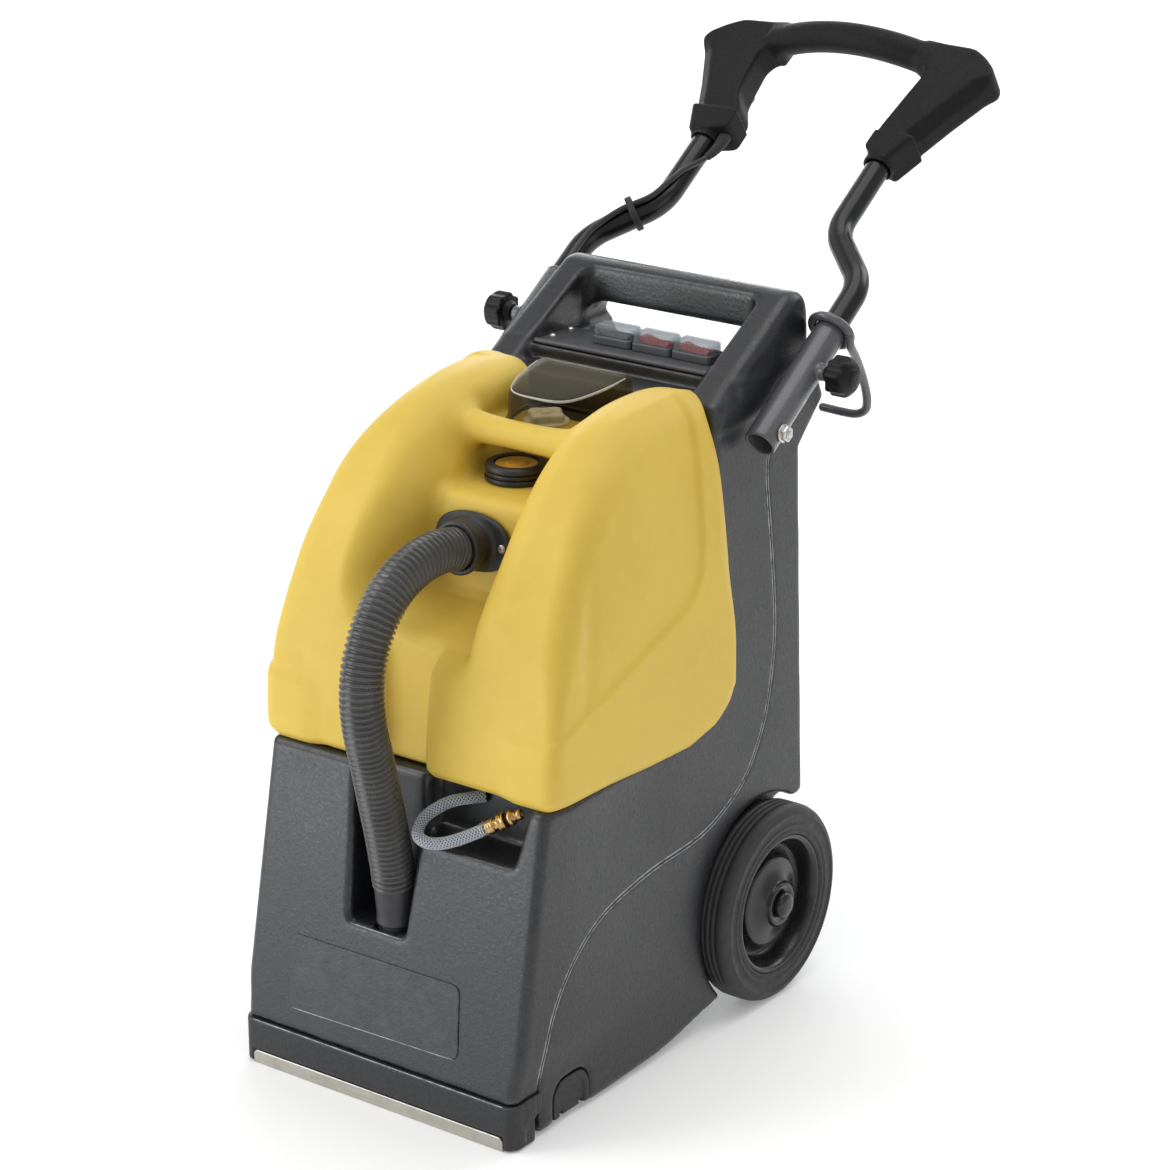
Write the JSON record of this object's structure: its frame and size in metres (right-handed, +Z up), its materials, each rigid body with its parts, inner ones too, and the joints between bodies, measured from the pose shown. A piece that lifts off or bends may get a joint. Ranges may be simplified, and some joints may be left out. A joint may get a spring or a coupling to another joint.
{
  "type": "spot extractor",
  "caption": "Upright self-contained carpet spot extractor with lift-off yellow recovery tank, ribbed suction hose, brush, two rear wheels and folding push handle.",
  "frame": {"origin": "on the floor under the middle of the machine's overall width and length", "axes": "+Z up, +X to the right of someone facing the front of the machine, -Y out of the front"},
  "size_m": [0.44, 0.8566, 0.9065],
  "materials": {
    "black_moulding": "leathery satin moulded polyethylene",
    "yellow_moulding": "fine grained satin moulded polyethylene",
    "satin_steel": "brushed",
    "zinc": "zinc plated",
    "tyre_rubber": "matt grooved rubber",
    "wheel_plastic": "satin",
    "motor_casting": "cast",
    "pump_plastic": "satin",
    "motor_paint": "semi gloss enamel",
    "turned_aluminium": "turned",
    "black_rubber": "matt",
    "nylon_bristle": "bristle",
    "brass": "turned, lightly tarnished",
    "panel_plastic": "satin",
    "grey_rocker": "semi gloss",
    "red_rocker": "semi gloss",
    "clear_boot": "clear soft plastic",
    "clear_dome": "clear, faintly smoked plastic",
    "white_plastic": "satin",
    "cap_plastic": "ribbed satin",
    "amber_plastic": "semi gloss",
    "hose_plastic": "satin corrugated",
    "braided_hose": "clear tube over pale and dark braid",
    "black_paint": "gloss enamel",
    "knob_plastic": "satin",
    "grip_plastic": "fine grained satin",
    "cable_sheath": "satin"
  },
  "bodies": {
    "base": {"base_housing": "black_moulding", "solution_tank": "black_moulding", "bottom_plate": "black_moulding", "base_screws": "zinc", "vacuum_shoe": "black_moulding", "glide_strip": "satin_steel", "shoe_duct": "black_moulding", "axle": "satin_steel", "axle_brackets": "zinc", "wheel_caps": "wheel_plastic", "vacuum_motor": "motor_casting", "pump": "pump_plastic", "brush_motor": "motor_paint", "drive_belt": "black_rubber", "brush_end_plates": "black_moulding", "spray_manifold": "brass", "control_panel": "panel_plastic", "panel_screws": "zinc", "switch_bases": "panel_plastic", "switch_boots": "clear_boot", "vacuum_seal": "black_rubber", "solution_hose": "braided_hose", "quick_coupler": "brass", "cable_glands": "black_rubber", "pivot_bolts": "zinc"},
    "left_wheel": {"left_tyre": "tyre_rubber", "left_hub": "wheel_plastic"},
    "right_wheel": {"right_tyre": "tyre_rubber", "right_hub": "wheel_plastic"},
    "brush": {"brush_core": "wheel_plastic", "brush_bristles": "nylon_bristle", "brush_pulley": "turned_aluminium"},
    "motor_drive": {"motor_pulley": "turned_aluminium"},
    "tank": {"recovery_tank": "yellow_moulding", "vacuum_pipe": "wheel_plastic", "dome_gasket": "black_rubber", "float_cage": "white_plastic", "hose_flange": "hose_plastic", "flange_screws": "zinc", "vacuum_hose": "hose_plastic", "hose_cuff": "hose_plastic"},
    "dome": {"dome_lid": "clear_dome"},
    "cap": {"tank_cap": "cap_plastic", "cap_insert": "amber_plastic"},
    "float": {"float_ball": "white_plastic"},
    "pump_switch": {"pump_rocker": "grey_rocker"},
    "brush_switch": {"brush_rocker": "red_rocker"},
    "vacuum_switch": {"vacuum_rocker": "red_rocker"},
    "coupler_ring": {"coupler_sleeve": "brass"},
    "handle": {"left_sleeve": "black_paint", "right_sleeve": "black_paint", "cord_hook": "black_paint", "switch_cable": "cable_sheath"},
    "handle_slide": {"left_tube": "black_paint", "right_tube": "black_paint", "handle_grip": "grip_plastic", "cable_fittings": "black_rubber"},
    "left_clamp": {"left_knob": "knob_plastic"},
    "right_clamp": {"right_knob": "knob_plastic"},
    "trigger": {"spray_trigger": "panel_plastic"}
  },
  "joints": [
    {"name": "left_wheel_spin", "type": "hinge", "parent": "base", "child": "left_wheel", "pos_m": [-0.163, 0.00015, 0.1016], "axis": [1, 0, 0], "continuous": true},
    {"name": "right_wheel_spin", "type": "hinge", "parent": "base", "child": "right_wheel", "pos_m": [0.163, 0.00015, 0.1016], "axis": [1, 0, 0], "continuous": true},
    {"name": "brush_spin", "type": "hinge", "parent": "base", "child": "brush", "pos_m": [0, -0.32485, 0.038], "axis": [1, 0, 0], "continuous": true},
    {"name": "motor_spin", "type": "hinge", "parent": "base", "child": "motor_drive", "pos_m": [0.126, -0.23235, 0.076], "axis": [1, 0, 0], "continuous": true},
    {"name": "tank_lift", "type": "slide", "parent": "base", "child": "tank", "axis": [0, 0, 1], "range_m": [0, 0.35]},
    {"name": "dome_lift", "type": "slide", "parent": "tank", "child": "dome", "axis": [0, 0, 1], "range_m": [0, 0.08]},
    {"name": "cap_turn", "type": "hinge", "parent": "tank", "child": "cap", "pos_m": [-0.008, -0.18035, 0.565], "axis": [0, 0, 1], "continuous": true},
    {"name": "float_rise", "type": "slide", "parent": "tank", "child": "float", "axis": [0, 0, 1], "range_m": [0, 0.02]},
    {"name": "pump_switch_rock", "type": "hinge", "parent": "base", "child": "pump_switch", "pos_m": [-0.026, 0.00815, 0.65], "axis": [0, 1, 0], "range_deg": [-14, 0]},
    {"name": "brush_switch_rock", "type": "hinge", "parent": "base", "child": "brush_switch", "pos_m": [0.021, 0.00815, 0.65], "axis": [0, 1, 0], "range_deg": [-14, 0]},
    {"name": "vacuum_switch_rock", "type": "hinge", "parent": "base", "child": "vacuum_switch", "pos_m": [0.068, 0.00815, 0.65], "axis": [0, 1, 0], "range_deg": [-14, 0]},
    {"name": "coupler_release", "type": "slide", "parent": "base", "child": "coupler_ring", "axis": [-0.8215, -0.2952, -0.4878], "range_m": [0, 0.004], "stiffness_N_per_m": 400},
    {"name": "handle_fold", "type": "hinge", "parent": "base", "child": "handle", "pos_m": [0, -0.01235, 0.595], "axis": [1, 0, 0], "range_deg": [-12, 55], "deforming": ["switch_cable"]},
    {"name": "handle_extend", "type": "slide", "parent": "handle", "child": "handle_slide", "axis": [0, 0.8266, 0.5628], "range_m": [-0.01, 0.05]},
    {"name": "left_knob_turn", "type": "hinge", "parent": "handle", "child": "left_clamp", "pos_m": [-0.19, 0.05295, 0.63946], "axis": [1, 0, 0], "continuous": true},
    {"name": "right_knob_turn", "type": "hinge", "parent": "handle", "child": "right_clamp", "pos_m": [0.19, 0.05295, 0.63946], "axis": [1, 0, 0], "continuous": true},
    {"name": "spray_trigger_pull", "type": "hinge", "parent": "handle_slide", "child": "trigger", "pos_m": [-0.118, 0.31748, 0.78933], "axis": [1, 0, 0], "range_deg": [0, 7], "stiffness_Nm_per_rad": 0.6, "springref_deg": -8.59}
  ],
  "couplings": [
    {"joint": "motor_spin", "follows": "brush_spin", "ratio": 1.3247}
  ]
}
